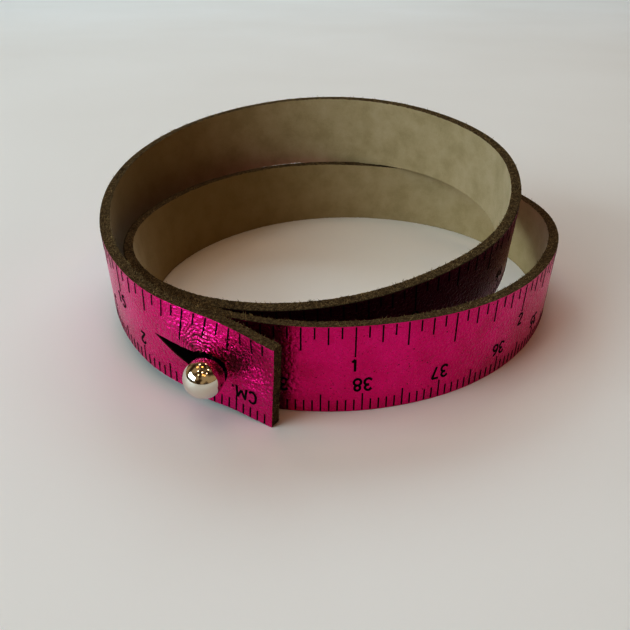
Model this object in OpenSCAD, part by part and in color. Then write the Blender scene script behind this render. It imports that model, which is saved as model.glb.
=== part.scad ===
// Wrist ruler: one leather strap printed as a ruler, worn wrapped twice round the wrist.
// A keyhole in its first end buttons over a ball stud near its other end.
// Millimetres, +Z up, standing on its lower edges, origin at the bottom centre of the bounding box.

/* [Strap] */
// Length of the strap, sixteen inches of ruler
strap_len = 406.4; // [400:0.4:408]
// Width of the strap
strap_w = 11.5; // [11:0.1:12]
// Thickness of the leather
strap_t = 1.4; // [1.1:0.1:1.4]

/* [Keyhole] */
// Distance from the strap's first end to the centre of the round hole
hole_at = 8.9; // [8.7:0.1:9.3]
// Height of the hole's centre above the lower edge, the leather being pulled down over the stud
hole_up = 4.95; // [4.8:0.05:5.2]
// Diameter of the round hole
hole_d = 4.7; // [4.6:0.1:5]
// Distance from the centre of the hole to the tip of the slit
slit_reach = 8; // [6:0.2:9]
// Height of the slit's tip above the centre of the hole
slit_rise = 1.25; // [0.8:0.05:1.4]
// Width of the slit where it leaves the hole
slit_w = 3.2; // [2:0.2:3.4]
// How far the leather is pushed out round the keyhole
bulge = 1; // [0.6:0.1:1.1]

/* [Ball stud] */
// Diameter of the ball
ball_d = 4.8; // [4.4:0.1:5.2]
// Diameter of the neck that holds the ball
neck_d = 2.2; // [1.8:0.1:2.6]
// Distance from the strap's outer face to the centre of the ball
ball_reach = 4.6; // [4.4:0.1:5]
// Diameter of the flange that seats on the strap
flange_d = 3.8; // [3.2:0.1:4]
// Thickness of the flange
flange_t = 0.5; // [0.4:0.1:0.6]

/* [Back screw] */
// Diameter of the screw's flat head, pressed into the back of the leather
screw_d = 6; // [5:0.5:7]
// Thickness of the head
screw_t = 0.5; // [0.4:0.1:0.6]
// Diameter of the screw's shank
shank_d = 1; // [0.8:0.1:1.2]

/* [Hidden] */
$fn = 48;

// Clearance between pieces, and how far a cut runs past a face
gap = 0.1;
past = 0.2;
// Distance of the stud from the strap's second end
stud_in = 9.6;

// The route of the strap: the lower edge of its outer face follows a smooth curve drawn between
// these rows. Columns: turn clockwise round the wrist from the front, distance from the middle of
// the wrist, height of the lower edge in strap widths, outward lean of the strap in degrees.
TURN = 0; RADIUS = 1; LIFT = 2; LEAN = 3;
route = [
    // first wrap: the keyhole end stands off in front, then the strap climbs over the second wrap
    [-4, 38.5, -0.08, 3],
    [10, 34.25, 0, 4],
    [24, 32.25, 0.08, -1],
    [38, 33.5, 0.14, 2],
    [54, 33, 0.24, 1],
    [75, 32.75, 0.22, 2],
    [105, 34, 0.5, 5],
    [135, 35.5, 0.78, 4],
    [165, 35, 1.02, -2],
    [195, 33, 1.08, -8],
    [225, 31.25, 0.96, -10],
    [255, 28.75, 0.8, -3],
    [285, 25.5, 0.4, 6],
    [315, 23, 0.24, 8],
    [345, 22.25, 0.06, 11],
    // second wrap: it stands on its edge, inside at the left, swung out at the right
    [375, 23.25, 0, 18],
    [405, 26.75, 0, 20],
    [435, 29, 0, 10],
    [465, 29, 0, 0],
    [495, 29.5, 0, 0],
    [525, 32, 0, -2],
    [555, 34.5, 0, -12],
    [585, 37, 0, -7],
    [615, 36, 0, 0],
    [645, 31.75, 0, 1],
    [675, 30.25, 0, 1],
    [705, 30.25, 0, -4],
    [730, 31, 0, -2],
    [750, 30.75, 0, -1],
    [770, 31.75, 0, 4],
    [790, 33.5, 0, 8],
];
last_u = len(route) - 3 - 0.001;

// Row of the route at u, where a whole number is a row and the curve is a cubic B-spline
function route_at(u) =
    let (i = floor(u), f = u - i)
    (pow(1 - f, 3) * route[i]
     + (3 * pow(f, 3) - 6 * f * f + 4) * route[i + 1]
     + (3 * f + 3 * f * f - 3 * pow(f, 3) + 1) * route[i + 2]
     + pow(f, 3) * route[i + 3]) / 6;

// Point on the route at u; a strap that leans inward is raised so that its inner edge clears the floor
function foot(u) =
    let (r = route_at(u))
    [-r[RADIUS] * sin(r[TURN]), -r[RADIUS] * cos(r[TURN]),
     r[LIFT] * strap_w + max(0, -strap_t * sin(r[LEAN]))];

function unit(v) = v / norm(v);

// Length along the route, in steps of du
du = 0.1;
steps = [for (u = [0 : du : last_u]) u];
feet = [for (u = steps) foot(u)];
lengths = [for (i = 0, run = 0; i < len(feet); run = run + (i + 1 < len(feet) ? norm(feet[i + 1] - feet[i]) : 0),
    i = i + 1) [run, steps[i]]];

// Local frame of the strap at distance s from its first end: foot, up, outward, s
FOOT = 0; UP = 1; OUT = 2; ALONG = 3;
function frame_at(s) =
    let (u = lookup(s, lengths),
         ahead = unit(foot(min(u + du / 2, last_u)) - foot(max(u - du / 2, 0))),
         side = unit([-ahead[1], ahead[0], 0]),
         upright = cross(ahead, side) * (cross(ahead, side)[2] < 0 ? -1 : 1),
         lean = route_at(u)[LEAN])
    [foot(u),
     cos(lean) * upright + sin(lean) * side,
     cos(lean) * side - sin(lean) * upright,
     s];

// The leather rises in a low dome over the keyhole, more along its upper lip
function rise(s, h) =
    bulge * exp(-pow((s - hole_at - 1.8) / 4.4, 2)) * exp(-pow((h - strap_w * 0.62) / (strap_w * 0.3), 2));

// Point on the strap: h up from its lower edge, t in from its outer face
function on_strap(f, h, t) = f[FOOT] + h * f[UP] + (rise(f[ALONG], h) - t) * f[OUT];

// Stations along the strap, closer together round the keyhole
fine_len = 22;
stations = concat([for (s = [0 : 1 : fine_len]) s],
                  [for (s = [fine_len + 2.4 : 2.4 : strap_len - 1]) s], [strap_len]);
frames = [for (s = stations) frame_at(s)];
rows_up = 6;
heights = [for (k = [0 : rows_up]) strap_w * k / rows_up];

stud_frame = frame_at(strap_len - stud_in);
stud_foot = on_strap(stud_frame, strap_w / 2, 0);
ball_centre = stud_foot + ball_reach * stud_frame[OUT];

// Middle of the bounding box, which becomes the origin
edge_points = [for (f = frames) for (h = [0, strap_w]) on_strap(f, h, 0)];
function low(k) = min(min([for (p = edge_points) p[k]]), ball_centre[k] - ball_d / 2);
function high(k) = max([for (p = edge_points) p[k]]);
centre = [(low(0) + high(0)) / 2, (low(1) + high(1)) / 2, 0];

// Solid between rings of points, each ring listed the same way round
module loft(rings) {
    n = len(rings[0]);
    last = len(rings) - 1;
    polyhedron(
        points = [for (r = rings) for (p = r) p],
        faces = concat(
            [[for (j = [0 : n - 1]) j]],
            [for (i = [0 : last - 1]) for (j = [0 : n - 1])
                [i * n + j, (i + 1) * n + j, (i + 1) * n + (j + 1) % n]],
            [for (i = [0 : last - 1]) for (j = [0 : n - 1])
                [i * n + j, (i + 1) * n + (j + 1) % n, i * n + (j + 1) % n]],
            [[for (j = [n - 1 : -1 : 0]) last * n + j]]),
        convexity = 8);
}

// A cut through the strap, of a flat outline of [along, up] points, from t0 to t1 in from its outer face
module through_strap(outline, t0, t1) {
    loft([for (t = [t0, t1]) [for (p = outline) on_strap(frame_at(p[0]), p[1], t)]]);
}

// Keyhole on the flat strap: a round hole whose slit narrows to a tip, away from the strap's end
arc_parts = 24;
slit_parts = 6;
mouth = asin(slit_w / hole_d);
hole_arc = [for (k = [0 : arc_parts]) let (a = mouth + (360 - 2 * mouth) * k / arc_parts)
    [hole_at + hole_d / 2 * cos(a), hole_up + hole_d / 2 * sin(a)]];
slit_tip = [hole_at + slit_reach, hole_up + slit_rise];
function lip(from, k) = from + (slit_tip - from) * k / slit_parts;
keyhole = concat(hole_arc,
                 [for (k = [1 : slit_parts]) lip(hole_arc[arc_parts], k)],
                 [for (k = [slit_parts - 1 : -1 : 1]) lip(hole_arc[0], k)]);

module at_stud() {
    out = stud_frame[OUT];
    translate(stud_foot) rotate([0, acos(out[2]), atan2(out[1], out[0])]) children();
}

// The strap, standing on edge and wrapped twice, with its keyhole, stud hole and pressed seat
module strap() {
    color("#c01a58")
    translate(-centre)
    difference() {
        loft([for (f = frames) concat(
            [for (h = heights) on_strap(f, h, 0)],
            [for (k = [rows_up : -1 : 0]) on_strap(f, heights[k], strap_t)])]);
        through_strap(keyhole, -past, strap_t + past);
        at_stud() {
            translate([0, 0, -strap_t - 2 * past]) cylinder(d = neck_d + 2 * gap, h = strap_t + 3 * past);
            translate([0, 0, -strap_t - past]) cylinder(d = screw_d + 2 * gap, h = screw_t + past + gap);
        }
    }
}

// Ball, neck and flange turned as one, with a blind hole up the neck for the screw
module ball_stud() {
    color("#d8d4cc")
    translate(-centre)
    at_stud() difference() {
        union() {
            translate([0, 0, ball_reach]) sphere(d = ball_d);
            translate([0, 0, screw_t + 2 * gap - strap_t]) cylinder(d = neck_d, h = ball_reach + strap_t - screw_t);
            translate([0, 0, gap]) cylinder(d = flange_d, h = flange_t);
        }
        translate([0, 0, -strap_t]) cylinder(d = shank_d + 2 * gap, h = strap_t + ball_reach / 2 + gap);
    }
}

// Flat headed screw that holds the stud from behind
module stud_screw() {
    color("#b8b4aa")
    translate(-centre)
    at_stud() {
        translate([0, 0, -strap_t]) cylinder(d = screw_d, h = screw_t);
        translate([0, 0, -strap_t]) cylinder(d = shank_d, h = strap_t + ball_reach / 2);
    }
}

strap();
ball_stud();
stud_screw();
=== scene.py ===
import math
import random

import bmesh
import bpy
import numpy as np
from mathutils import Euler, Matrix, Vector, noise
from mathutils.bvhtree import BVHTree


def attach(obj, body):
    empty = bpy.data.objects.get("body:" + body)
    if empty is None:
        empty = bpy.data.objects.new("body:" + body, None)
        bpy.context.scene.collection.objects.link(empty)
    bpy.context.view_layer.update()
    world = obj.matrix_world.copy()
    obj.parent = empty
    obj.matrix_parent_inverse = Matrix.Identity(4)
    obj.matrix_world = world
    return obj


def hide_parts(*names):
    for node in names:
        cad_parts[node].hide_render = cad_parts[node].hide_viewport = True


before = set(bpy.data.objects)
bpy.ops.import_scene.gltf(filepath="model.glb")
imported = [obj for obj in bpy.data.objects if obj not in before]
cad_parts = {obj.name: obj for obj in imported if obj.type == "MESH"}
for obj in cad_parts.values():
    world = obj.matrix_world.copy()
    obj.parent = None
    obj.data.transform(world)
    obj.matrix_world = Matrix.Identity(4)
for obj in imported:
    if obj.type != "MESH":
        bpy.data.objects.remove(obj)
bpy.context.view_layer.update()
print("frame loaded")

mm = 0.001

# Where the strap goes. It is a ruler strip that stands on its edge and is wrapped twice.
strapPlan = {
    "length": 406.4,      # sixteen inches
    "width": 11.5,
    "thick": 1.4,
    "studIn": 9.6,        # stud from the strap's second end
    "ballReach": 4.6,
    "ballSize": 4.8,
    "bulge": 1.0,         # leather pushed out in a dome over the keyhole
    "domePast": 1.8,      # the dome's middle past the hole
    "domeLong": 4.4,
    "domeUp": 0.62,       # in strap widths
    "domeHigh": 0.3,
    "holeAt": 8.77,
    "holeUp": 4.98,
    "holeSize": 4.95,
    "slitReach": 8.6,
    "slitRise": 1.05,
    "slitWidth": 3.2,     # where it leaves the hole
    "slitLift": 0.22,     # it leaves the hole above its middle
}

# turn clockwise from the front, distance from the middle, lift in strap widths, outward lean in degrees
route = [
    (-4, 38.5, -0.08, 3),
    (10, 34.25, 0, 4),
    (24, 32.25, 0.08, -1),
    (38, 33.5, 0.14, 2),
    (54, 33, 0.24, 1),
    (75, 32.75, 0.22, 2),
    (105, 34, 0.5, 5),
    (135, 35.5, 0.78, 4),
    (165, 35, 1.02, -2),
    (195, 33, 1.08, -8),
    (225, 31.25, 0.96, -10),
    (255, 28.75, 0.8, -3),
    (285, 25.5, 0.4, 6),
    (315, 23, 0.24, 8),
    (345, 22.25, 0.06, 11),
    (375, 23.25, 0, 18),
    (405, 26.75, 0, 20),
    (435, 29, 0, 10),
    (465, 29, 0, 0),
    (495, 29.5, 0, 0),
    (525, 32, 0, -2),
    (555, 34.5, 0, -12),
    (585, 37, 0, -7),
    (615, 36, 0, 0),
    (645, 31.75, 0, 1),
    (675, 30.25, 0, 1),
    (705, 30.25, 0, -4),
    (730, 31, 0, -2),
    (750, 30.75, 0, -1),
    (770, 31.75, 0, 4),
    (790, 33.5, 0, 8),
]
routeRows = np.array(route, float)
lastRow = len(route) - 3.001    # the spline ends here
rowStep = 0.1


def rowAt(u):
    # cubic B-spline through the rows
    u = np.clip(np.atleast_1d(u), 0, lastRow)
    i = np.floor(u).astype(int)
    f = (u - i)[:, None]
    return ((1 - f) ** 3 * routeRows[i] + (3 * f ** 3 - 6 * f ** 2 + 4) * routeRows[i + 1]
            + (3 * f + 3 * f ** 2 - 3 * f ** 3 + 1) * routeRows[i + 2] + f ** 3 * routeRows[i + 3]) / 6


def footAt(u):
    row = rowAt(u)
    turn, lean = np.radians(row[:, 0]), np.radians(row[:, 3])
    lift = row[:, 2] * strapPlan["width"] + np.maximum(0, -strapPlan["thick"] * np.sin(lean))
    return np.stack([-row[:, 1] * np.sin(turn), -row[:, 1] * np.cos(turn), lift], 1)


# the lower edge of the first wrap lies on the second at the back, where the solid keeps a gap
restPlan = {"sink": 0.75, "middle": 103.0, "spread": 14.5}


def unit(v):
    return v / np.linalg.norm(v, axis=1)[:, None]


rowSteps = np.arange(0, lastRow, rowStep)
feetAlong = footAt(rowSteps)
lengthAlong = np.concatenate([[0], np.cumsum(np.linalg.norm(np.diff(feetAlong, axis=0), axis=1))])


def exactFrames(s):
    # lower edge of the outer face, up and out, at each length along the strap
    u = np.interp(s, lengthAlong, rowSteps)
    ahead = unit(footAt(u + rowStep / 2) - footAt(u - rowStep / 2))
    side = unit(np.stack([-ahead[:, 1], ahead[:, 0], 0 * ahead[:, 0]], 1))
    upright = np.cross(ahead, side)
    upright *= np.where(upright[:, 2:3] < 0, -1, 1)
    lean = np.radians(rowAt(u)[:, 3])[:, None]
    return (footAt(u), np.cos(lean) * upright + np.sin(lean) * side,
            np.cos(lean) * side - np.sin(lean) * upright)


frameStep = 0.25
frameGrid = np.arange(-1, strapPlan["length"] + 1, frameStep)
frameTable = exactFrames(np.clip(frameGrid, 0, strapPlan["length"]))


def framesAt(s):
    return [np.stack([np.interp(s, frameGrid, t[:, k]) for k in range(3)], 1) for t in frameTable]


def smoothStep(lo, hi, x):
    t = np.clip((x - lo) / (hi - lo), 0, 1)
    return t * t * (3 - 2 * t)


def hill(x, mid, spread):
    return np.exp(-((x - mid) / spread) ** 2)


def domeAt(s, h):
    # the low dome over the keyhole, as in the solid
    plan = strapPlan
    along = hill(s, plan["holeAt"] + plan["domePast"], plan["domeLong"])
    return plan["bulge"] * along * hill(h, plan["width"] * plan["domeUp"], plan["width"] * plan["domeHigh"])


def keyholeDistance(s, h):
    # signed distance to the keyhole's outline: a round hole and the wedge of its slit
    plan = strapPlan
    r = plan["holeSize"] / 2
    ds, dh = s - plan["holeAt"], h - plan["holeUp"]
    ring = np.hypot(ds, dh) - r
    half = plan["slitWidth"] / 2
    mouthAt = math.sqrt(r * r - half * half)
    corners = [(mouthAt, half + plan["slitLift"]), (plan["slitReach"], plan["slitRise"]),
               (mouthAt, plan["slitLift"] - half)]
    near = np.full(np.shape(s), 1e9)
    inside = np.ones(np.shape(s), bool)
    for k in range(3):
        a, b = corners[k], corners[(k + 1) % 3]
        ex, ey = b[0] - a[0], b[1] - a[1]
        px, py = ds - a[0], dh - a[1]
        t = np.clip((px * ex + py * ey) / (ex * ex + ey * ey), 0, 1)
        near = np.minimum(near, np.hypot(px - t * ex, py - t * ey))
        inside &= (ex * py - ey * px) < 0
    return np.minimum(ring, np.where(inside, -near, near))


def originShift():
    # the route is drawn round the wrist, the part stands at the middle of its box
    plan = strapPlan
    fineTo, coarse = 22, 2.4    # the solid's own sections
    stations = np.concatenate([np.arange(0, fineTo + 1, 1),
                               np.arange(fineTo + coarse, plan["length"] - 1, coarse), [plan["length"]]])
    foot, up, out = exactFrames(stations)
    edges = np.concatenate([foot + domeAt(stations, h)[:, None] * out + h * up for h in (0, plan["width"])])
    middle = (edges.min(0) + edges.max(0)) / 2
    return middle * (1, 1, 0)


shift = originShift()


def noiseAt(points, scale, seed):
    # Perlin noise at points in mm, scale is the size of a bump
    return np.array([noise.noise(Vector(p) / scale + Vector((seed, seed * 0.7, -seed))) for p in points])


reliefPlan = {
    "wander": [(0.035, 7.0, 1.3), (0.0175, 2.8, 2.9)],   # height, size and seed of slow unevenness
    "grain": 0.008,       # fine unevenness of the foil
    "grainSize": 0.9,
    "grainGain": 1.5,     # it is rougher near the first end
    "grainFrom": (22, 14),
    "droop": 0.2,         # the first end bends in
    "droopLong": 2.6,
    "roll": 0.012,        # the foil turns over at a cut edge
    "rollWidth": 0.16,
    "endRoll": 0.07,
    "endRollWidth": 0.45,
}

# where the leather is pushed out or in: height, middle and spread along, middle and spread up
dents = [
    (-0.72, 3.5, 2.5, 7.6, 2.2),    # hollow between the ball and the strap's end
    (0.32, 8.4, 2.3, 8.1, 1.8),     # over the ball
    (0.42, 8.8, 2.5, 0, 3.2),       # the lower edge under the ball
]

creasePlan = {
    "deep": 0.135,
    "size": 0.41,         # mm between ridges
    "middle": (9.3, 6.6),    # they run round this place
    "bend": 0.5,
    "bendSize": 1.6,
    "shiver": 0.1,
    "shiverSize": 0.6,
    "sharp": 1.5,
    "breakReach": 0.7,
    "breakTurn": 3.5,     # breaks to a radian
    "whole": 0.7,
    "broken": 1.3,
    "crumb": 2.6,
    "crumbSize": 0.34,
    "crumbShare": 0.8,
    "crumbFrom": (8.0, 6.4),
    "middleLevel": 0.38,
}

# where the foil is creased, columns as for the dents with a share for the height
creasePatches = [
    (1.15, 9.9, 3.0, 8.3, 2.1),
    (0.95, 5.6, 2.3, 7.9, 2.5),
    (0.35, 12.0, 1.6, 3.6, 0.9),
]


def patchAt(patch, s, h):
    high, along, long, up, wide = patch
    return high * hill(s, along, long) * hill(h, up, wide)


def creaseMask(s, h):
    most = np.maximum.reduce([patchAt(patch, s, h) for patch in creasePatches])
    return np.clip(most, 0, 1) * (s < 22)


def creaseAt(s, h):
    # arcs round the upper lip of the keyhole, broken here and there, and crumbs towards the strap's end
    plan = creasePlan
    ds, dh = s - plan["middle"][0], h - plan["middle"][1]
    reach, turn = np.hypot(ds, dh), np.arctan2(dh, ds)
    flat = np.stack([s, h, 0 * s], 1)
    bend = plan["bend"] * noiseAt(flat, plan["bendSize"], 8.8)
    bend += plan["shiver"] * noiseAt(flat, plan["shiverSize"], 3.3)
    wave = 0.5 + 0.5 * np.cos(math.tau * (reach + bend) / plan["size"])
    breaks = noiseAt(np.stack([reach / plan["breakReach"], turn * plan["breakTurn"], 0 * s], 1), 1.0, 4.1)
    arcs = np.clip(plan["whole"] + plan["broken"] * breaks, 0, 2 * plan["whole"]) * wave ** plan["sharp"]
    crumbs = 1 - plan["crumb"] * np.abs(noiseAt(flat, plan["crumbSize"], 6.2))
    share = plan["crumbShare"] * smoothStep(*plan["crumbFrom"], s)
    return arcs * (1 - share) + crumbs * share - plan["middleLevel"]


def creaseRelief(s, h):
    # how creased the foil is, and its ridges as a share of their full height
    mask = creaseMask(s, h)
    ridges = np.zeros(len(s))
    near = mask > 0.02
    if near.any():
        ridges[near] = mask[near] * creaseAt(s[near], h[near])
    return mask, ridges


def surfaceLift(s, h, fine=True):
    # height of the foil face over the plain wrapped strip, in mm
    relief = reliefPlan
    lift = domeAt(s, h) + sum(patchAt(dent, s, h) for dent in dents)
    lift -= relief["droop"] * hill(s, 0, relief["droopLong"]) * (1 - 0.5 * h / strapPlan["width"])
    flat = np.stack([s, h, 0 * s], 1)
    for high, size, seed in relief["wander"]:
        lift += high * noiseAt(flat, size, seed)
    if fine:
        rough = relief["grain"] * (1 + relief["grainGain"] * smoothStep(*relief["grainFrom"], s))
        lift += rough * noiseAt(flat, relief["grainSize"], 5.5)
        lift += creasePlan["deep"] * creaseRelief(s, h)[1]
    return lift


def edgeRoll(s, h):
    # how far the foil turns over near a cut edge
    plan, relief = strapPlan, reliefPlan
    away = np.minimum.reduce([h, plan["width"] - h, s, plan["length"] - s, np.abs(keyholeDistance(s, h))])
    t = np.clip(1 - away / relief["rollWidth"], 0, 1)
    quarter = 1 - np.sqrt(1 - t * t * 0.98)    # nearly a quarter round
    return relief["roll"] * quarter + relief["endRoll"] * np.clip(1 - s / relief["endRollWidth"], 0, 1) ** 2


def wrapPoints(s, h, depth):
    # flat strip to its place, in metres: s along, h up, depth in from the plain outer face
    foot, up, out = framesAt(s)
    place = foot + h[:, None] * up - depth[:, None] * out - shift
    low = 1 - h / strapPlan["width"]
    place[:, 2] -= restPlan["sink"] * hill(s, restPlan["middle"], restPlan["spread"]) * low
    return place * mm


def setPlaces(mesh, places):
    mesh.vertices.foreach_set("co", np.asarray(places, np.float32).ravel())
    mesh.update()


def getPlaces(mesh):
    flat = np.zeros(len(mesh.vertices) * 3, np.float32)
    mesh.vertices.foreach_get("co", flat)
    return flat.reshape(-1, 3).astype(float)


def meshFrom(bm, name):
    mesh = bpy.data.meshes.new(name)
    bm.to_mesh(mesh)
    bm.free()
    return mesh


def addObject(name, data):
    thing = bpy.data.objects.new(name, data)
    bpy.context.scene.collection.objects.link(thing)
    return thing


def bakeObject(thing):
    # the mesh that the object shows, with its modifiers applied; the object itself goes
    bpy.context.view_layer.update()
    graph = bpy.context.evaluated_depsgraph_get()
    mesh = bpy.data.meshes.new_from_object(thing.evaluated_get(graph))
    bpy.data.objects.remove(thing)
    return mesh


def addPiece(name, mesh, materials):
    piece = addObject(name, mesh)
    for material in materials:
        mesh.materials.append(material)
    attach(piece, "root")
    return piece


# Materials

def toLinear(hexColour):
    parts = [int(hexColour[i:i + 2], 16) / 255 for i in (1, 3, 5)]
    return [p / 12.92 if p <= 0.04045 else ((p + 0.055) / 1.055) ** 2.4 for p in parts] + [1]


def fillInputs(node, inputs):
    # inputs are values, sockets to link from, or nodes, which give their first output that is in use
    for key, value in inputs.items():
        if isinstance(value, bpy.types.Node):
            value = next(socket for socket in value.outputs if socket.enabled)
        if isinstance(value, bpy.types.NodeSocket):
            node.id_data.links.new(value, node.inputs[key])
        else:
            node.inputs[key].default_value = value


def addNode(tree, kind, inputs=None, **settings):
    node = tree.nodes.new("ShaderNode" + kind)
    for key, value in settings.items():
        setattr(node, key, value)
    fillInputs(node, inputs or {})
    return node


def newMaterial(name):
    # the last value is the place on the object, which the patterns use
    material = bpy.data.materials.new(name)
    material.use_nodes = True
    tree = material.node_tree
    tree.nodes.clear()
    shader = addNode(tree, "BsdfPrincipled")
    addNode(tree, "OutputMaterial", {"Surface": shader})
    return material, tree, shader, addNode(tree, "TexCoord").outputs["Object"]


def perBump(size):
    # texture scale for bumps of a size in mm
    return 1 / (size * mm)


def setRamp(ramp, stops):
    band = ramp.color_ramp
    while len(band.elements) < len(stops):
        band.elements.new(0.5)
    for element, (place, colour) in zip(band.elements, stops):
        element.position = place
        element.color = toLinear(colour)


def makeMottled(name, look):
    # patches of colour, their size in mm, and an even finish
    material, tree, shader, place = newMaterial(name)
    patches = addNode(tree, "TexNoise", {"Vector": place, "Scale": perBump(look["size"]),
            "Detail": look["detail"]})
    tint = addNode(tree, "ValToRGB", {"Fac": patches})
    setRamp(tint, look["colours"])
    fillInputs(shader, {"Base Color": tint, **look["finish"]})
    return material


foilLook = {
    "pink": "#dc0c7e",
    "deep": "#cb0a6d",
    "pale": "#e7188b",
    "cloudSize": 5,       # mm, as all sizes here
    "pit": "#6d0430",
    "pitSize": 0.5,       # between pits
    "pitPatch": 1.1,
    "worn": "#140207",    # painted shade between the wraps, under the ball and by the first end
    "trough": "#540018",  # painted shade at the bottom of a crease and in the dish by the strap's end
    "crest": "#f67fb8",   # painted highlight on its crest
    "roughness": 0.27,
    "creased": 0.18,      # its roughness
    "metal": 0.95,
    "coat": 0.35,         # clear size over the foil
    "coatRough": 0.12,
    "peelSize": 0.4,      # orange peel of the pressed foil
    "peelDeep": 0.2,
    "pitDeep": 0.05,
    "pebble": 2.0,        # how much deeper the peel is where it is pebbled
}


def makeFoilLeather():
    # Magenta foil hot pressed on leather: satin metal with a fine peel, small pits where it bridged the
    # grain, sharp ridges where the leather is bent hard, painted highlights on their crests, and painted
    # shade in their troughs, between the wraps and under the ball
    material, tree, shader, place = newMaterial("foilPressedLeather")
    look = foilLook
    crest, worn, creased, pebbled = [addNode(tree, "Attribute", attribute_name=name).outputs["Fac"]
                                     for name in ("crest", "paintedShadeMap", "crush", "pebble")]
    cloud, some, peel = [addNode(tree, "TexNoise", {"Vector": place, "Scale": perBump(look[size]),
                                                    "Detail": detail})
                         for size, detail in (("cloudSize", 3.0), ("pitPatch", 2.0), ("peelSize", 2.5))]
    tint = addNode(tree, "ValToRGB", {"Fac": cloud})
    setRamp(tint, [(0.3, look["deep"]), (0.5, look["pink"]), (0.75, look["pale"])])
    cells = addNode(tree, "TexVoronoi", {"Vector": place, "Scale": perBump(look["pitSize"])})
    pitCore = addNode(tree, "MapRange", {"Value": cells, "From Min": 0.1, "From Max": 0.22,
            "To Min": 1.0, "To Max": 0.0})
    pitPick = addNode(tree, "MapRange", {"Value": some, "From Min": 0.53, "From Max": 0.62})
    pits = addNode(tree, "Math", {0: pitCore, 1: pitPick}, operation="MULTIPLY")
    # painted shade in the troughs and a painted highlight on the crests
    low = addNode(tree, "MapRange", {"Value": crest, "From Max": -0.36, "To Max": 0.95})
    high = addNode(tree, "MapRange", {"Value": crest, "From Min": 0.15, "From Max": 0.5, "To Max": 0.5})
    colour = tint
    for share, other in ((pits, "pit"), (low, "trough"), (high, "crest"), (worn, "worn")):
        colour = addNode(tree, "Mix", {"Factor": share, "A": colour, "B": toLinear(look[other])},
                data_type="RGBA")
    rough = addNode(tree, "MapRange", {"Value": peel, "From Min": 0.3, "From Max": 0.7,
            "To Min": look["roughness"] - 0.04, "To Max": look["roughness"] + 0.1})
    shine = addNode(tree, "Mix", {"Factor": creased, "A": rough, "B": look["creased"]})
    swell = addNode(tree, "Math", {0: pebbled, 1: look["pebble"], 2: 1.0}, operation="MULTIPLY_ADD")
    peelHigh = addNode(tree, "Math", {0: peel, 1: swell}, operation="MULTIPLY")
    peelBump = addNode(tree, "Bump", {"Height": peelHigh, "Strength": 0.8,
            "Distance": look["peelDeep"] * mm})
    bump = addNode(tree, "Bump", {"Height": pits, "Strength": 0.8, "Distance": look["pitDeep"] * mm,
            "Normal": peelBump}, invert=True)
    # no clear coat where the shade is painted
    clear = addNode(tree, "Mix", {"Factor": worn, "A": look["coat"], "B": 0.0})
    fillInputs(shader, {"Base Color": colour, "Roughness": shine, "Metallic": look["metal"],
            "Normal": bump, "Coat Normal": bump, "Coat Weight": clear,
            "Coat Roughness": look["coatRough"]})
    return material


# Cut edge of chrome tanned leather: raw olive brown fibres, quite without shine
rimLook = {
    "grains": [(0.35, 4.0, 0.65), (0.12, 3.0, 0.7)],    # size in mm, detail and roughness of either
    "blend": 0.5,
    "colours": [(0.36, "#261e12"), (0.5, "#524330"), (0.66, "#8b7a58")],
    # the walls of the keyhole are darkened as painted shade
    "marks": "paintedShadeMap",
    "worn": "#0d0a07",
    "raised": 0,          # both grains are raised
    "strength": 0.9,
    "deep": 0.12,
    "finish": {"Roughness": 0.95, "Specular IOR Level": 0.25},
}

# Flesh side of the leather, rolled smooth: matt olive tan with a short nap
fleshLook = {
    "grains": [(3.5, 4.0, 0.6), (0.16, 3.0, 0.7)],
    "blend": 0.4,
    "colours": [(0.38, "#a1906e"), (0.5, "#ad9b7a"), (0.64, "#b5a385")],
    "marks": "paintedFleshShade",
    "worn": "#7a6212",    # painted shade, golden, where the inner walls lie in shade
    "raised": 1,          # only the nap is
    "strength": 0.55,
    "deep": 0.05,
    "finish": {"Roughness": 0.88, "Sheen Weight": 0.15, "Sheen Roughness": 0.5},
}


def makeRawLeather(name, look):
    # two grains together give the colour, which painted shade darkens
    material, tree, shader, place = newMaterial(name)
    coarse, fine = [addNode(tree, "TexNoise", {"Vector": place, "Scale": perBump(size), "Detail": detail,
                                               "Roughness": rough}) for size, detail, rough in look["grains"]]
    blend = addNode(tree, "Mix", {"Factor": look["blend"], "A": coarse, "B": fine})
    tint = addNode(tree, "ValToRGB", {"Fac": blend})
    setRamp(tint, look["colours"])
    bump = addNode(tree, "Bump", {"Height": (blend, fine)[look["raised"]], "Strength": look["strength"],
                                  "Distance": look["deep"] * mm})
    marks = addNode(tree, "Attribute", attribute_name=look["marks"]).outputs["Fac"]
    colour = addNode(tree, "Mix", {"Factor": marks, "A": tint, "B": toLinear(look["worn"])}, data_type="RGBA")
    fillInputs(shader, {"Base Color": colour, "Normal": bump, **look["finish"]})
    return material


metalLook = {
    "ball": "#e2ddd3",
    "ballPit": "#3a3128",
    "ballStain": 1.2,     # mm, as all sizes here
    "pitApart": 1.3,
    "pitShare": 0.05,
    "pitDeep": 0.02,
    "screw": "#b9b4a8",
    "screwGrit": 0.2,
    "screwDeep": 0.01,
}


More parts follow.
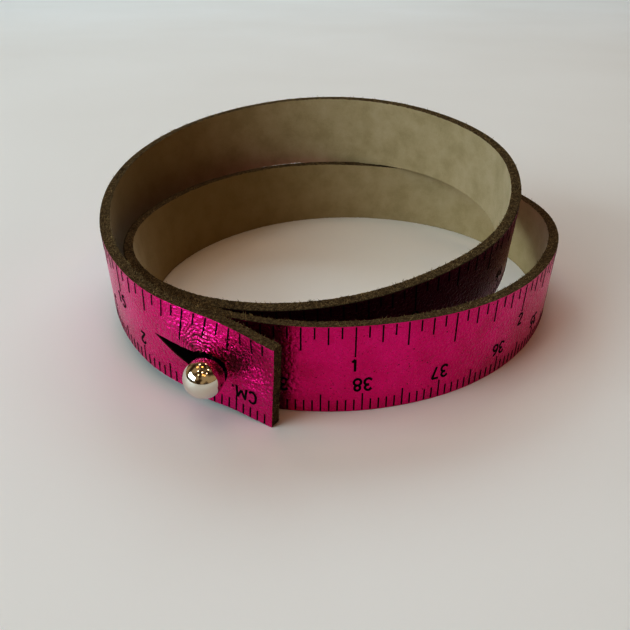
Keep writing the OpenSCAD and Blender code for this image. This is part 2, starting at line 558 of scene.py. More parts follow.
def makePolishedNickel():
    # Nickel plate, turned and polished: near mirror, with a few fine pits
    material, tree, shader, place = newMaterial("polishedNickelPlate")
    look = metalLook
    stain = addNode(tree, "TexNoise", {"Vector": place, "Scale": perBump(look["ballStain"]),
            "Detail": 3.0})
    rough = addNode(tree, "MapRange", {"Value": stain, "From Min": 0.35, "From Max": 0.7,
            "To Min": 0.03, "To Max": 0.09})
    spots = addNode(tree, "TexVoronoi", {"Vector": place, "Scale": perBump(look["pitApart"])})
    spot = addNode(tree, "Math", {0: spots, 1: look["pitShare"]}, operation="LESS_THAN")
    colour = addNode(tree, "Mix", {"Factor": spot, "A": toLinear(look["ball"]),
            "B": toLinear(look["ballPit"])}, data_type="RGBA")
    bump = addNode(tree, "Bump", {"Height": spot, "Strength": 0.5, "Distance": look["pitDeep"] * mm},
            invert=True)
    fillInputs(shader, {"Base Color": colour, "Roughness": rough, "Normal": bump, "Metallic": 1.0})
    return material


def makeTurnedSteel():
    # Steel screw, faced on a lathe: a grey, slightly uneven shine
    material, tree, shader, place = newMaterial("turnedSteel")
    look = metalLook
    grit = addNode(tree, "TexNoise", {"Vector": place, "Scale": perBump(look["screwGrit"]),
            "Detail": 4.0})
    rough = addNode(tree, "MapRange", {"Value": grit, "To Min": 0.22, "To Max": 0.42})
    bump = addNode(tree, "Bump", {"Height": grit, "Strength": 0.2, "Distance": look["screwDeep"] * mm})
    fillInputs(shader, {"Base Color": toLinear(look["screw"]), "Roughness": rough,
            "Normal": bump, "Metallic": 1.0})
    return material


# Black pigment printed on the foil: thin, nearly matt, a little broken at its edges
inkLook = {
    "size": 0.12,
    "detail": 2.0,
    "colours": [(0.35, "#020102"), (0.66, "#050306"), (0.85, "#16070e")],
    "finish": {"Roughness": 0.6, "Specular IOR Level": 0.12},
}

# Nickel plate left unpolished under the ball, and darkened as painted shade inside the keyhole: dark satin
shadedNickelLook = {
    "size": 0.5,
    "detail": 3.0,
    "colours": [(0.35, "#1d1712"), (0.7, "#57504a")],
    "finish": {"Roughness": 0.4, "Metallic": 1.0},
}

foilLeather = makeFoilLeather()
cutEdge = makeRawLeather("cutLeatherEdge", rimLook)
fleshSide = makeRawLeather("rolledFleshSide", fleshLook)
ink = makeMottled("blackPrint", inkLook)
nickel = makePolishedNickel()
steel = makeTurnedSteel()
shadedNickel = makeMottled("shadedNickelPlate", shadedNickelLook)
print("materials made")


# The strap: a flat strip is cut, thickened and roughened, then wrapped

strapMeshPlan = {
    "columns": 560,
    "rows": 12,
    "fineTo": 20.0,       # mm from the first end with a fine mesh
    "fineCuts": 4,
    "patch": (1.2, 16.4, 4.9),    # from, to and above: the creases need a finer mesh still
    "margin": 0.5,        # the keyhole's border is searched so far from the strip's own edges
    "longEdge": 0.4,
    "borderCuts": 2,
    "rimLayers": 5,
    "rimRough": 0.09,
    "rimTop": (0.35, 0.65, 0.5),    # share of it at the foil, the rest, and the depth where it is whole
    "rimFoil": 0.015,     # the foil's own edge is cleaner
    "rimBumps": [(1, 0.45, 7.7), (0.8, 0.2, 3.1)],    # share, size and seed
    "endShare": 0.8,      # the two ends are cut cleaner
}


def buildStrapSheet(bm):
    plan, cut = strapPlan, strapMeshPlan
    bmesh.ops.create_grid(bm, x_segments=cut["columns"], y_segments=cut["rows"], size=1)
    for v in bm.verts:
        v.co = ((v.co.x + 1) / 2 * plan["length"], (v.co.y + 1) / 2 * plan["width"], 0)
    fine = [e for e in bm.edges if max(v.co.x for v in e.verts) < cut["fineTo"]]
    bmesh.ops.subdivide_edges(bm, edges=fine, cuts=cut["fineCuts"], use_grid_fill=True)
    start, end, above = cut["patch"]
    inPatch = [e for e in bm.edges if all(start < v.co.x < end and v.co.y > above for v in e.verts)]
    bmesh.ops.subdivide_edges(bm, edges=inPatch, cuts=1, use_grid_fill=True)


def cutKeyhole(bm):
    # takes out the faces inside the outline, then draws the ragged border onto it
    plan, margin = strapPlan, strapMeshPlan["margin"]
    reach = plan["holeAt"] + plan["slitReach"] + 1
    faces = [f for f in bm.faces if f.calc_center_median().x < reach]
    centres = np.array([f.calc_center_median()[:2] for f in faces])
    gone = keyholeDistance(centres[:, 0], centres[:, 1]) < 0
    bmesh.ops.delete(bm, geom=[f for f, g in zip(faces, gone) if g], context="FACES")
    border = [v for v in bm.verts if v.is_boundary and margin < v.co.x < reach
              and margin < v.co.y < plan["width"] - margin]
    tiny = 0.005    # the outline's direction is measured over this
    for step in range(2):
        s, h = np.array([v.co[:2] for v in border]).T
        d = keyholeDistance(s, h)
        gs = (keyholeDistance(s + tiny, h) - keyholeDistance(s - tiny, h)) / (2 * tiny)
        gh = (keyholeDistance(s, h + tiny) - keyholeDistance(s, h - tiny)) / (2 * tiny)
        for v, along, up in zip(border, d * gs, d * gh):
            v.co.x -= along
            v.co.y -= up


def refineBorder(bm):
    # the long cut edges need more points than the leather between them
    coarse = [e for e in bm.edges if e.is_boundary and e.calc_length() > strapMeshPlan["longEdge"]]
    bmesh.ops.subdivide_edges(bm, edges=coarse, cuts=strapMeshPlan["borderCuts"])
    bmesh.ops.triangulate(bm, faces=[f for f in bm.faces if len(f.verts) > 4])


def isRim(face):
    return abs(face.normal.z) < 0.5


def buildStrap():
    thick = strapPlan["thick"]
    bm = bmesh.new()
    buildStrapSheet(bm)
    cutKeyhole(bm)
    refineBorder(bm)
    bmesh.ops.recalc_face_normals(bm, faces=bm.faces)
    if bm.faces[0].normal.z < 0:
        bmesh.ops.reverse_faces(bm, faces=bm.faces)
    bmesh.ops.solidify(bm, geom=bm.faces[:], thickness=thick)
    # the foil face ends at height 0 whichever way the sheet was thickened, stray border points too
    moved = [v for v in bm.verts if abs(v.co.z) > thick / 2]
    upward = sum(v.co.z > 0 for v in moved) > len(moved) / 2
    for v in bm.verts:
        onFoil = (abs(v.co.z) > thick / 2) == upward
        v.co.z = 0 if onFoil else -thick
    bm.normal_update()
    across = [e for e in bm.edges if abs(e.verts[0].co.z - e.verts[1].co.z) > thick / 2
              and any(isRim(f) for f in e.link_faces)]
    bmesh.ops.subdivide_edges(bm, edges=across, cuts=strapMeshPlan["rimLayers"] - 1, use_grid_fill=True)
    bm.normal_update()
    for f in bm.faces:
        f.material_index = 1 if isRim(f) else (0 if f.normal.z > 0 else 2)
        f.smooth = True
    for e in bm.edges:
        e.smooth = len({f.material_index for f in e.link_faces}) < 2
    return meshFrom(bm, "strap")


def roughenRim(mesh, flat):
    # the cut edges are ragged: rim vertices move in and out a little
    plan, cut = strapPlan, strapMeshPlan
    onFace = np.zeros((3, len(mesh.vertices)), bool)
    for p in mesh.polygons:
        onFace[p.material_index, list(p.vertices)] = True
    picked = np.where(onFace[1])[0]
    points = flat[picked]
    s, h, depth = points[:, 0], points[:, 1], -points[:, 2]
    least, rest, whole = cut["rimTop"]
    rough = cut["rimRough"] * (least + rest * smoothStep(0.0, whole, depth))
    rough = np.where(onFace[0][picked], cut["rimFoil"], rough)
    push = rough * sum(share * noiseAt(points, size, seed) for share, size, seed in cut["rimBumps"])
    near = 0.01
    down, up = h < near, h > plan["width"] - near
    flat[picked, 1] += np.where(up, push, 0) + np.where(down, np.abs(push), 0)
    first, last = s < near, s > plan["length"] - near
    flat[picked, 0] += (np.where(last, push, 0) - np.where(first, push, 0)) * cut["endShare"]
    return flat


# where the foil and the flesh side differ from the rest, in pebbling and in painted shade: strength, then
# middle and spread along in mm
shadeAndPebblePlan = {
    "pebbled": [(0.6, 395.5, 3.5), (0.5, 389.6, 1.2), (0.4, 14.0, 4.0)],
    "pebbledEnd": (1, 2.2, 3.2, 7.5, 4.0),    # this and the next have a middle and a spread up too
    "dishShade": (0.55, 5.5, 1.6, 7.2, 1.6),
    "creasePebble": 0.1,
    # painted shade on the flesh side, where the inner walls lie in shade
    "fleshShade": [(0.6, 246, 30), (0.6, 52, 26)],
    "fleshShadeLate": (0.3, 330, 22),
    "holeShade": 0.3,     # the leather is dark so far from the keyhole
    "ballShade": (4.6, 3.4),    # painted shade on the foil under the ball
    "foilShade": 0.82,       # painted shade where the wraps lie close together
    "foilShadeFrom": (140, 168),
    "foilShadeTo": (276, 250),
    # painted shade towards the first end
    "endShade": 0.12,
    "endFrom": (7, 3),
    "endShadow": 0.76,      # painted shadow of the first end on the wrap beneath
    "endShadowFrom": (388.5, 389.5),
}


def wearAt(s, h, depth):
    # painted shade: the walls of the keyhole, the foil under the ball, the first end and its shadow, and
    # where the wraps lie close together
    marks = shadeAndPebblePlan
    fromStud = np.hypot(s - strapPlan["length"] + strapPlan["studIn"], h - strapPlan["width"] / 2)
    foilShade = marks["foilShade"] * smoothStep(*marks["foilShadeFrom"], s) * smoothStep(*marks["foilShadeTo"], s)
    foilShade += marks["endShade"] * smoothStep(*marks["endFrom"], s)
    foilShade = np.maximum(foilShade, marks["endShadow"] * smoothStep(*marks["endShadowFrom"], s))
    foilShade = np.maximum(foilShade, smoothStep(*marks["ballShade"], fromStud))
    return np.where(depth > 0.01, smoothStep(marks["holeShade"], 0.0, keyholeDistance(s, h)), foilShade)


def finishStrap(mesh):
    # stores what the materials read, then wraps the strip and returns its flat foil for the print
    marks = shadeAndPebblePlan
    flat = getPlaces(mesh)
    s, h, depth = flat[:, 0].copy(), flat[:, 1].copy(), -flat[:, 2]
    onFoil = depth < 0.01
    mask, crest = [part * onFoil for part in creaseRelief(s, h)]
    # painted shade in the dish by the strap's end, given as deep troughs
    crest -= patchAt(marks["dishShade"], s, h)
    pebbled = patchAt(marks["pebbledEnd"], s, h) + marks["creasePebble"] * mask
    pebbled += sum(high * hill(s, along, long) for high, along, long in marks["pebbled"])
    fleshShade = np.maximum.reduce([high * hill(s, along, long) for high, along, long in marks["fleshShade"]])
    high, along, long = marks["fleshShadeLate"]
    fleshShade += high * hill(s, along, long)
    stored = {"crush": mask, "crest": crest, "pebble": pebbled, "paintedFleshShade": fleshShade,
              "paintedShadeMap": wearAt(s, h, depth)}
    for name, values in stored.items():
        mesh.attributes.new(name, "FLOAT", "POINT").data.foreach_set("value", values.astype(np.float32))
    lift = surfaceLift(s, h, fine=False)
    lift[onFoil] = surfaceLift(s[onFoil], h[onFoil]) - edgeRoll(s[onFoil], h[onFoil])
    flat = roughenRim(mesh, flat)
    raised = [Vector((p[0], p[1], p[2] + up)) for p, up in zip(flat, lift)]
    foilFaces = [tuple(p.vertices) for p in mesh.polygons if p.material_index == 0]
    tree = BVHTree.FromPolygons(raised, foilFaces)
    setPlaces(mesh, wrapPoints(flat[:, 0], flat[:, 1], -flat[:, 2] - lift))
    mesh.validate()
    return tree


strapMesh = buildStrap()
foilTree = finishStrap(strapMesh)
strap = addPiece("wrapped_strap", strapMesh, [foilLeather, cutEdge, fleshSide])
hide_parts("strap")
print("strap made,", sum(len(p.vertices) - 2 for p in strapMesh.polygons), "triangles")


# The printed scales: inches from the second end along the upper edge,
# centimetres from the first end along the lower edge, turned the other way up

scalePlan = {
    "tickWidth": 0.175,
    "tickSteps": (0.13, 0.5),    # a tick is cut across so often, on the creased foil and beyond it
    "creasedTo": 18,
    "inkThick": 0.025,
    "inkSunk": 0.03,      # the buried side lies so far under the foil
    "inchTicks": {16: 4.0, 8: 4.0, 4: 3.1, 2: 2.3, 1: 1.55},
    "mmTicks": {10: 2.45, 5: 2.45, 1: 1.6},
    "edgeGap": 0.12,      # the print stops just short of the cut edge
    "holeClear": 0.25,
    "inchUp": 6.35,       # middle of the numerals above the lower edge
    "cmUp": 3.67,
    "digitHigh": 1.6,
    "digitStep": 1.3,
    "letterStep": 1.55,
    "digitMiddle": 0.28,
    "oneMiddle": 0.3,
    "pen": 0.29,
    "markAt": 4.25,       # the unit mark near the first end
    "markUp": 3.2,
}
inch = 25.4


def foilHeight(s, h):
    # height of the finished foil at each point of the flat strip
    found = surfaceLift(s, h)
    above, reach = 5, 6.2
    for k in range(len(s)):
        hit = foilTree.ray_cast(Vector((s[k], h[k], above)), Vector((0, 0, -1)), reach)[0]
        if hit is not None:
            found[k] = hit.z
    return found


def printOn(mesh, top):
    # lays flat ink on the foil, its top side above and the other side buried
    flat = getPlaces(mesh)
    s, h = flat[:, 0], flat[:, 1]
    skin = foilHeight(s, h) + np.where(flat[:, 2] > top, scalePlan["inkThick"], -scalePlan["inkSunk"])
    setPlaces(mesh, wrapPoints(s, h, -skin))
    return mesh


def addTick(bm, s, low, high):
    # a long low box, cut across so that it can follow the leather
    plan = scalePlan
    made = bmesh.ops.create_cube(bm, size=1)["verts"]
    for v in made:
        v.co = (s + v.co.x * plan["tickWidth"], low + (v.co.y + 0.5) * (high - low), v.co.z)
    step = plan["tickSteps"][0 if s < plan["creasedTo"] else 1]
    long = [e for e in {e for v in made for e in v.link_edges}
            if abs(e.verts[0].co.y - e.verts[1].co.y) > (high - low) / 2]
    bmesh.ops.subdivide_edges(bm, edges=long, cuts=max(1, int((high - low) / step)))


def clearOfHole(s, low, high):
    # the part of a tick that misses the keyhole
    up = np.linspace(low, high, 60)
    free = keyholeDistance(np.full(60, s), up) > scalePlan["holeClear"]
    return (up[free].min(), up[free].max()) if free.any() else None


def tickLength(count, sizes):
    return next(size for every, size in sizes.items() if count % every == 0)


def buildTicks():
    plan, ruler = scalePlan, strapPlan
    bm = bmesh.new()
    for count in range(1, 16 * 16):
        size = tickLength(count, plan["inchTicks"])
        addTick(bm, ruler["length"] - count * inch / 16, ruler["width"] - size,
                ruler["width"] - plan["edgeGap"])
    for count in range(1, int(ruler["length"])):
        span = clearOfHole(float(count), plan["edgeGap"], tickLength(count, plan["mmTicks"]))
        if span:
            addTick(bm, float(count), *span)
    return printOn(meshFrom(bm, "ticks"), 0)


# Pen strokes of the numerals in a box one high: c is a curve, l is straight, o is a closed curve
penStrokes = {
    "0": [("o", [(0.28, 1), (0.02, 0.5), (0.28, 0), (0.54, 0.5)])],
    "1": [("l", [(0.08, 0.78), (0.3, 1), (0.3, 0)])],
    "2": [("c", [(0.02, 0.76), (0.1, 0.95), (0.3, 1), (0.5, 0.9), (0.5, 0.66), (0.3, 0.38), (0.02, 0)]),
          ("l", [(0.02, 0), (0.56, 0)])],
    "3": [("c", [(0.02, 0.84), (0.26, 1), (0.5, 0.86), (0.46, 0.62), (0.22, 0.54)]),
          ("c", [(0.22, 0.54), (0.5, 0.46), (0.54, 0.2), (0.28, 0), (0, 0.14)])],
    "4": [("l", [(0.42, 0), (0.42, 1), (0, 0.3), (0.58, 0.3)])],
    "5": [("l", [(0.52, 1), (0.12, 1), (0.06, 0.56)]),
          ("c", [(0.06, 0.56), (0.3, 0.64), (0.54, 0.5), (0.52, 0.16), (0.26, 0), (0, 0.12)])],
    "6": [("c", [(0.48, 1), (0.2, 0.78), (0.04, 0.42), (0.06, 0.14), (0.28, 0), (0.52, 0.14), (0.52, 0.42),
                 (0.3, 0.56), (0.08, 0.42)])],
    "7": [("l", [(0, 1), (0.54, 1), (0.2, 0)])],
    "8": [("o", [(0.28, 1), (0.07, 0.78), (0.28, 0.55), (0.49, 0.78)]),
          ("o", [(0.28, 0.55), (0.01, 0.28), (0.28, 0), (0.55, 0.28)])],
    "9": [("c", [(0.08, 0), (0.36, 0.22), (0.52, 0.58), (0.5, 0.86), (0.28, 1), (0.04, 0.86), (0.04, 0.58),
                 (0.26, 0.44), (0.48, 0.58)])],
    "C": [("c", [(0.6, 0.84), (0.42, 1), (0.2, 0.96), (0.02, 0.5), (0.2, 0.04), (0.42, 0), (0.6, 0.16)])],
    "M": [("l", [(-0.12, 0), (-0.02, 1), (0.32, 0.28), (0.66, 1), (0.76, 0)])],
    ".": [("l", [(0.05, 0.2), (0.17, 0.22)])],
}


def addStroke(curve, kind, points, place):
    # a bent pen line is drawn as separate straight ones, so that it keeps its width at the corners
    if kind == "l" and len(points) > 2:
        for pair in zip(points, points[1:]):
            addStroke(curve, kind, pair, place)
        return
    spline = curve.splines.new("BEZIER")
    spline.bezier_points.add(len(points) - 1)
    for point, (x, y) in zip(spline.bezier_points, points):
        point.co = place(x, y)
        point.handle_left_type = point.handle_right_type = "VECTOR" if kind == "l" else "AUTO"
    spline.use_cyclic_u = kind == "o"


def addWord(curve, word, s, h, upsideDown):
    # writes a word centred on s and h of the flat strip
    plan = scalePlan
    high = plan["digitHigh"]
    step = plan["digitStep" if word[0].isdigit() else "letterStep"]
    # seen from outside the first end is on the right, so plain words run against s and turned ones with s
    sign = 1 if upsideDown else -1
    for k, letter in enumerate(word):
        wide = plan["oneMiddle" if letter == "1" else "digitMiddle"]
        middle = s + sign * (k - (len(word) - 1) / 2) * step
        for kind, points in penStrokes[letter]:
            addStroke(curve, kind, points,
                      lambda x, y: (middle + sign * (x - wide) * high, h - sign * (y - 0.5) * high, 0))


def buildNumerals():
    plan, ruler = scalePlan, strapPlan
    curve = bpy.data.curves.new("numerals", "CURVE")
    curve.dimensions = "3D"
    curve.resolution_u = 8
    curve.bevel_depth = plan["pen"] / 2
    curve.bevel_resolution = 1
    curve.use_fill_caps = True
    for inches in range(1, 16):
        addWord(curve, str(inches), ruler["length"] - inches * inch, plan["inchUp"], False)
    for centimetres in range(2, 40):
        addWord(curve, str(centimetres), centimetres * 10.0, plan["cmUp"], True)
    addWord(curve, "CM.", plan["markAt"], plan["markUp"], True)
    mesh = bakeObject(addObject("numerals", curve))
    mesh.materials.clear()
    return printOn(mesh, -0.02)


addPiece("printed_ticks", buildTicks(), [ink])
addPiece("printed_numerals", buildNumerals(), [ink])
print("scales printed")


# The ball stud, spun about its axis, and the screw behind it

studPlan = {
    "neck": 2.2,
    "neckFrom": 0.8,      # above the back of the leather
    "flange": 3.8,
    "flangeThick": 0.5,
    "edge": 0.1,          # small bevels and fillets
    "gap": 0.1,
    "steps": 96,
    "ballSteps": 48,
    "screwHead": 6.0,
    "screwThick": 0.5,
    "screwEdges": (0.02, 0.05, 0.12),    # in and down at the leather, and the bevel behind
    "slotWide": 0.7,
    "slotDeep": 0.22,
}


def spinProfile(bm, profile, steps):
    # profile is a list of (radius, height) from the axis to the axis
    verts = [bm.verts.new((r, 0, z)) for r, z in profile]
    edges = [bm.edges.new(pair) for pair in zip(verts, verts[1:])]
    bmesh.ops.spin(bm, geom=verts + edges, cent=(0, 0, 0), axis=(0, 0, 1), angle=math.tau, steps=steps,
                   use_merge=True)
    bmesh.ops.remove_doubles(bm, verts=bm.verts, dist=0.001)
    bmesh.ops.recalc_face_normals(bm, faces=bm.faces)


def placeAtStud(bm):
    # from its own axis in mm to its place on the strap in metres
    foot, up, out = exactFrames(np.array([strapPlan["length"] - strapPlan["studIn"]]))
    base = Vector(foot[0] + strapPlan["width"] / 2 * up[0] - shift) * mm
    turn = Vector((0, 0, 1)).rotation_difference(Vector(out[0])).to_matrix().to_4x4()
    bmesh.ops.scale(bm, vec=(mm, mm, mm), verts=bm.verts)
    bmesh.ops.transform(bm, matrix=turn, verts=bm.verts)
    bmesh.ops.translate(bm, vec=base, verts=bm.verts)
    for f in bm.faces:
        f.smooth = True


def buildBallStud():
    plan, ruler = studPlan, strapPlan
    r, reach = ruler["ballSize"] / 2, ruler["ballReach"]
    neck, flange, edge = plan["neck"] / 2, plan["flange"] / 2, plan["edge"]
    end, low = plan["neckFrom"] - ruler["thick"], plan["gap"]
    top = low + plan["flangeThick"]
    start = math.asin(neck / r)
    ballLow = reach - r * math.cos(start)
    arc = [(r * math.sin(a), reach - r * math.cos(a)) for a in np.linspace(start, math.pi, plan["ballSteps"])]
    arc[-1] = (0, reach + r)
    foot = [(0, end), (neck, end), (neck, low), (flange - edge, low), (flange, low + edge),
            (flange, top - edge), (flange - edge, top), (neck + edge, top), (neck, top + edge),
            (neck, ballLow - edge)]
    bm = bmesh.new()
    spinProfile(bm, foot + arc, plan["steps"])
    # the neck and flange take the nickel in painted shade
    for f in bm.faces:
        f.material_index = 0 if f.calc_center_median().z > ballLow + edge / 2 else 1
    placeAtStud(bm)
    mesh = meshFrom(bm, "ball_stud")
    mesh.set_sharp_from_angle(angle=math.radians(40))
    return mesh


def buildScrewHead():
    plan, back = studPlan, -strapPlan["thick"]
    r, front = plan["screwHead"] / 2, back + plan["screwThick"]
    inward, down, bevel = plan["screwEdges"]
    bm = bmesh.new()
    spinProfile(bm, [(0, front), (r - inward, front), (r, front - down), (r, back + bevel), (r - bevel, back),
                     (0, back)], plan["steps"])
    return meshFrom(bm, "stud_screw")


def buildScrew():
    plan = studPlan
    holder = addObject("screwBlank", buildScrewHead())
    cutter = bmesh.new()
    made = bmesh.ops.create_cube(cutter, size=1)["verts"]
    across = plan["screwHead"] * 1.2    # the cutter runs past the head
    bmesh.ops.scale(cutter, vec=(plan["slotWide"], across, plan["slotDeep"] * 2), verts=made)
    bmesh.ops.translate(cutter, vec=(0, 0, -strapPlan["thick"]), verts=made)
    cutterPiece = addObject("slotCutter", meshFrom(cutter, "slotCutter"))
    slot = holder.modifiers.new("slot", "BOOLEAN")
    slot.object = cutterPiece
    slot.operation = "DIFFERENCE"
    mesh = bakeObject(holder)
    bpy.data.objects.remove(cutterPiece)
    bm = bmesh.new()
    bm.from_mesh(mesh)
    placeAtStud(bm)
    bm.to_mesh(mesh)
    bm.free()
    mesh.set_sharp_from_angle(angle=math.radians(30))
    return mesh


ball = addPiece("polished_ball_stud", buildBallStud(), [nickel, shadedNickel])
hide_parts("ball_stud")
screw = addPiece("slotted_back_screw", buildScrew(), [steel])
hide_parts("stud_screw")
print("stud and screw made")


# Loose fibres that stand up from the cut edges

fibrePlan = {
    "doublings": 13,      # one fibre doubled so often
    "long": 0.6,
    "least": 0.35,        # the shortest, before the power that makes most of them short
    "power": 2.2,
    "thin": 0.09,
    "tufts": 70,          # places where torn fibres stand together
    "tuftWide": 0.16,
    "tuftDeep": 0.05,
    "tuftShare": 0.12,    # share of the fibres that stand in tufts
    "tuftLong": 0.75,
    "innerFrom": (0.8, 0.92),    # the draws that go to the lower edge inside
    "firstFrom": (0.92, 0.97),   # and to the first end, the rest to the last end
    "innerLong": 0.5,
    "endLong": 0.6,
    "lipTuft": 26,        # fibres at the upper lip of the keyhole
    "lipAt": 9.5,
    "lipWide": 0.35,
    "sunk": 0.03,         # the roots lie so far in the leather
    "sway": 0.9,
}


def makeFibreBlanks():
    # straight three sided hairs, one long, cut across twice so that they can bend
    bm = bmesh.new()
    bmesh.ops.create_cone(bm, cap_ends=True, segments=3, radius1=0.5, radius2=0, depth=1)
    bmesh.ops.remove_doubles(bm, verts=bm.verts, dist=0.001)
    long = [e for e in bm.edges if abs(e.verts[0].co.z - e.verts[1].co.z) > 0.5]
    bmesh.ops.subdivide_edges(bm, edges=long, cuts=2, use_grid_fill=True)
    bmesh.ops.recalc_face_normals(bm, faces=bm.faces)
    joints = len(bm.verts)
    for doubling in range(fibrePlan["doublings"]):
        bmesh.ops.duplicate(bm, geom=bm.verts[:] + bm.edges[:] + bm.faces[:])
    return meshFrom(bm, "edge_fibres"), joints


def fibreRoots(count, dice):
    # where each fibre stands on the flat strip, its length in metres, and which of them are special
    plan, hair = strapPlan, fibrePlan
    length, width, thick, sunk = plan["length"], plan["width"], plan["thick"], hair["sunk"]
    kind = dice.random(count)
    s = dice.uniform(0.05, length - 0.05, count)
    h = np.full(count, width - sunk)
    depth = thick * (1 - dice.random(count) ** 1.7)
    size = hair["long"] * mm * dice.uniform(hair["least"], 1.0, count) ** hair["power"]
    across = dice.uniform(0.2, width - 0.2, count)
    tuft, last = kind < hair["tuftShare"], kind > hair["firstFrom"][1]
    inner, first = [(kind > low) & (kind < high) for low, high in (hair["innerFrom"], hair["firstFrom"])]
    middles = dice.uniform(2, length - 2, (hair["tufts"], 2))
    chosen = dice.integers(0, hair["tufts"], count)
    s = np.where(tuft, middles[chosen, 0] + dice.normal(0, hair["tuftWide"], count), s)
    tuftDepth = thick * middles[chosen, 1] / length + dice.normal(0, hair["tuftDeep"], count)
    depth = np.where(tuft, tuftDepth, depth)
    size[tuft] *= hair["tuftLong"]
    h[inner], size[inner] = 2 * sunk, size[inner] * hair["innerLong"]
    depth[inner] = thick * dice.uniform(0.9, 1.0, inner.sum())
    ends = first | last
    s[first], s[last], h[ends], size[ends] = sunk, length - sunk, across[ends], size[ends] * hair["endLong"]
    lip = np.arange(count) < hair["lipTuft"]
    s[lip] = hair["lipAt"] + dice.uniform(-hair["lipWide"], hair["lipWide"], lip.sum())
    h[lip], depth[lip] = plan["holeUp"] + plan["holeSize"] / 2 - 0.08, dice.uniform(0, 0.5, lip.sum())
    return s, h, np.clip(depth, 0.01, thick - 0.01), size, (inner, first, last, lip)


def buildFibres():
    mesh, joints = makeFibreBlanks()
    blanks = getPlaces(mesh).reshape(-1, joints, 3)
    count = len(blanks)
    dice = np.random.default_rng(41)
    s, h, depth, size, (inner, first, last, lip) = fibreRoots(count, dice)
    roots = wrapPoints(s, h, depth - surfaceLift(s, h, fine=False))
    up, out = framesAt(s)[1:]
    ahead = unit(np.cross(up, out))
    ahead *= np.sign(np.sum((framesAt(s + 1)[0] - framesAt(s - 1)[0]) * ahead, 1))[:, None]
    # they rise from their edge, and further in they lean inward
    rise = up - out * (dice.uniform(0, 0.7, count) * depth / strapPlan["thick"])[:, None]
    rise[inner] = 0.4 * up[inner] - out[inner]
    rise[first], rise[last] = -ahead[first], ahead[last]
    rise[lip] = 0.7 * out[lip] - 0.5 * up[lip]
    rise = unit(rise)
    side = unit(np.cross(rise, np.where((first | last)[:, None], up, ahead)))
    along = np.cross(rise, side)
    sway = fibrePlan["sway"]
    bend, slant = dice.uniform(-sway, sway, (2, count))[:, :, None, None]
    t = blanks[:, :, 2:] + 0.5
    rise, side, along, size = rise[:, None, :], side[:, None, :], along[:, None, :], size[:, None, None]
    centre = rise * t * 0.8 + side * (slant * t + bend * t * t) * 0.5 + along * bend * t * t
    ring = (side * blanks[:, :, :1] + along * blanks[:, :, 1:2]) * fibrePlan["thin"] * mm
    setPlaces(mesh, (roots[:, None, :] + centre * size + ring).reshape(-1, 3))
    return mesh


# Torn collagen fibres: dull, pale to brown
fibreLook = {
    "size": 0.8,
    "detail": 2.0,
    "colours": [(0.4, "#54462f"), (0.7, "#b39e72")],
    "finish": {"Roughness": 0.8},
}
tornFibre = makeMottled("tornLeatherFibre", fibreLook)

fibres = addPiece("edge_fibres", buildFibres(), [tornFibre])
print("fibres made,", len(fibres.data.polygons), "faces")


# Floor, light and camera

stagePlan = {
    "floorSize": 3.0,
    "roomDark": "#2b2015",   # patches of the room that the ball mirrors
    "roomWarm": "#6a5c47",
    "roomLeft": "#5c6066",   # what lights the leather from either side
    "roomRight": "#8e5600",
    "roomStrength": 0.2,
    "roomGlow": 2.1,      # how bright the room is in reflections
    "lamps": 12,          # in the ceiling, in rows of three
    "lampRow": (-0.42, 0.44, 0.12),    # first, step and how far they stray
    "lampRows": (-0.85, 0.43, 0.1),
    "lampHigh": 0.95,
    "lampSize": (0.12, 0.22),
    "lampPower": 0.17,
    "lampColours": ("#ffe0bc", "#ffb060"),
}

# name, place, size, power, colour, and whether the foil and the ball mirror it
softLights = [
    ("window", (-0.8, -0.42, 0.36), (0.8, 0.34), 4.3, "#def6ff", True),
    ("highWindow", (-0.7, -0.4, 0.65), (0.55, 0.4), 1.5, "#eafaff", False),
    ("farWindow", (-0.5, 0.8, 0.7), (0.8, 0.5), 1.8, "#d8f4ff", False),
    ("rearWindow", (0.05, 0.9, 0.7), (0.9, 0.5), 3.2, "#e2f4ff", False),
    ("wallGlow", (0.9, -0.1, 0.3), (0.6, 0.4), 0.14, "#ffc840", False),
    ("ceiling", (-0.15, -0.1, 1.1), (0.8, 0.8), 1.1, "#f6f2ee", False),
]


# Painted board, matt and almost even
floorLook = {
    "size": 1000 / 6,     # six patches to a metre
    "detail": 3.0,
    "colours": [(0.35, "#e4e2df"), (0.65, "#e9e8e6")],
    "finish": {"Roughness": 0.6},
}


def makeFloor():
    bm = bmesh.new()
    bmesh.ops.create_grid(bm, x_segments=1, y_segments=1, size=stagePlan["floorSize"] / 2)
    mesh = meshFrom(bm, "floor")
    mesh.materials.append(makeMottled("paleBoard", floorLook))
    addObject("floor", mesh)


def addLight(name, place, size, power, colour, mirrored=True, shape="RECTANGLE"):
    # a soft light that faces the middle of the floor
    light = bpy.data.lights.new(name, "AREA")
    light.shape, light.energy, light.color = shape, power, toLinear(colour)[:3]
    light.size, light.size_y = size
    lamp = addObject(name, light)
    lamp.location = place
    lamp.rotation_euler = (-Vector(place)).to_track_quat("-Z", "Y").to_euler()
    lamp.visible_glossy = mirrored


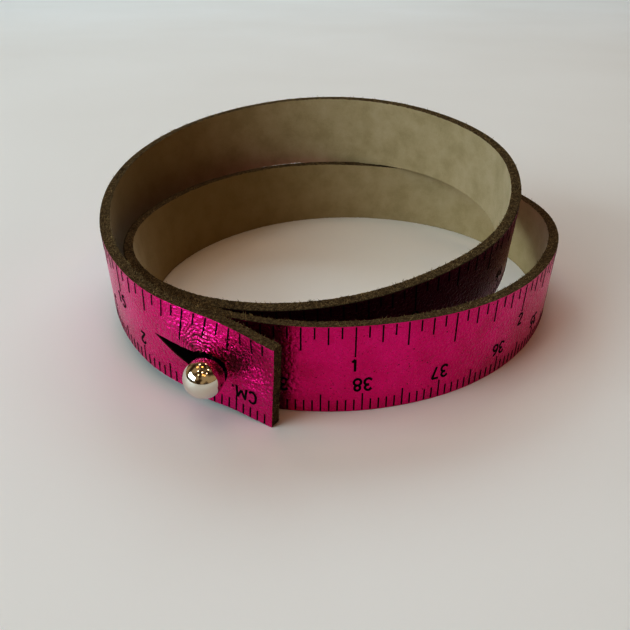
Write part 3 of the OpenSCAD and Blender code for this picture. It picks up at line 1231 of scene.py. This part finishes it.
def makeRoom():
    # dark with warm patches where it is mirrored, plain on either side where it lights things
    plan = stagePlan
    world = bpy.data.worlds.new("room")
    world.use_nodes = True
    tree = world.node_tree
    sky = addNode(tree, "TexCoord").outputs["Object"]
    patches = addNode(tree, "TexNoise", {"Vector": sky, "Scale": 1.7, "Detail": 1.5})
    wall = addNode(tree, "ValToRGB", {"Fac": patches})
    setRamp(wall, [(0.4, plan["roomDark"]), (0.56, plan["roomWarm"])])
    along = addNode(tree, "SeparateXYZ", {0: sky})
    right = addNode(tree, "MapRange", {"Value": along, "From Min": -0.3, "From Max": 0.7})
    sides = addNode(tree, "Mix", {"Factor": right, "A": toLinear(plan["roomLeft"]),
            "B": toLinear(plan["roomRight"])}, data_type="RGBA")
    mirrored = addNode(tree, "LightPath").outputs["Is Glossy Ray"]
    glow = addNode(tree, "Mix", {"Factor": mirrored, "A": plan["roomStrength"], "B": plan["roomGlow"]})
    room = addNode(tree, "Mix", {"Factor": mirrored, "A": sides, "B": wall}, data_type="RGBA")
    fillInputs(tree.nodes["Background"], {"Color": room, "Strength": glow})
    bpy.context.scene.world = world


def makeLight():
    plan = stagePlan
    for row in softLights:
        addLight(*row)
    random.seed(5)
    (x, stepX, strayX), (y, stepY, strayY) = plan["lampRow"], plan["lampRows"]
    for k in range(plan["lamps"]):
        place = (x + stepX * (k % 3) + random.uniform(-strayX, strayX),
                 y + stepY * (k // 3) + random.uniform(-strayY, strayY), plan["lampHigh"])
        size = random.uniform(*plan["lampSize"])
        colour = plan["lampColours"][k % 5 in (1, 2)]
        addLight("lamp%d" % k, place, (size, size), plan["lampPower"], colour, shape="ELLIPSE")


def makeCamera():
    # the photograph's own view, in metres and degrees
    view = {"place": (0.00133, -0.09067, 0.04881), "down": 30.29, "left": 2.381, "roll": 0.548,
            "focal": 641.55, "imageSize": 630, "sensor": 36.0}
    lens = bpy.data.cameras.new("camera")
    lens.sensor_width = view["sensor"]
    lens.lens = view["sensor"] * view["focal"] / view["imageSize"]
    lens.clip_start = 0.005
    camera = addObject("camera", lens)
    turns = [Euler((0, 0, view["left"])), Euler((90 - view["down"], 0, 0)), Euler((0, 0, view["roll"]))]
    left, down, roll = [Euler([math.radians(a) for a in turn]).to_matrix() for turn in turns]
    camera.location = view["place"]
    camera.rotation_euler = (left @ down @ roll).to_euler()
    bpy.context.scene.camera = camera


makeFloor()
makeRoom()
makeLight()
makeCamera()
view = bpy.context.scene.view_settings
view.view_transform, view.look = "Standard", "High Contrast"
print("stage made")
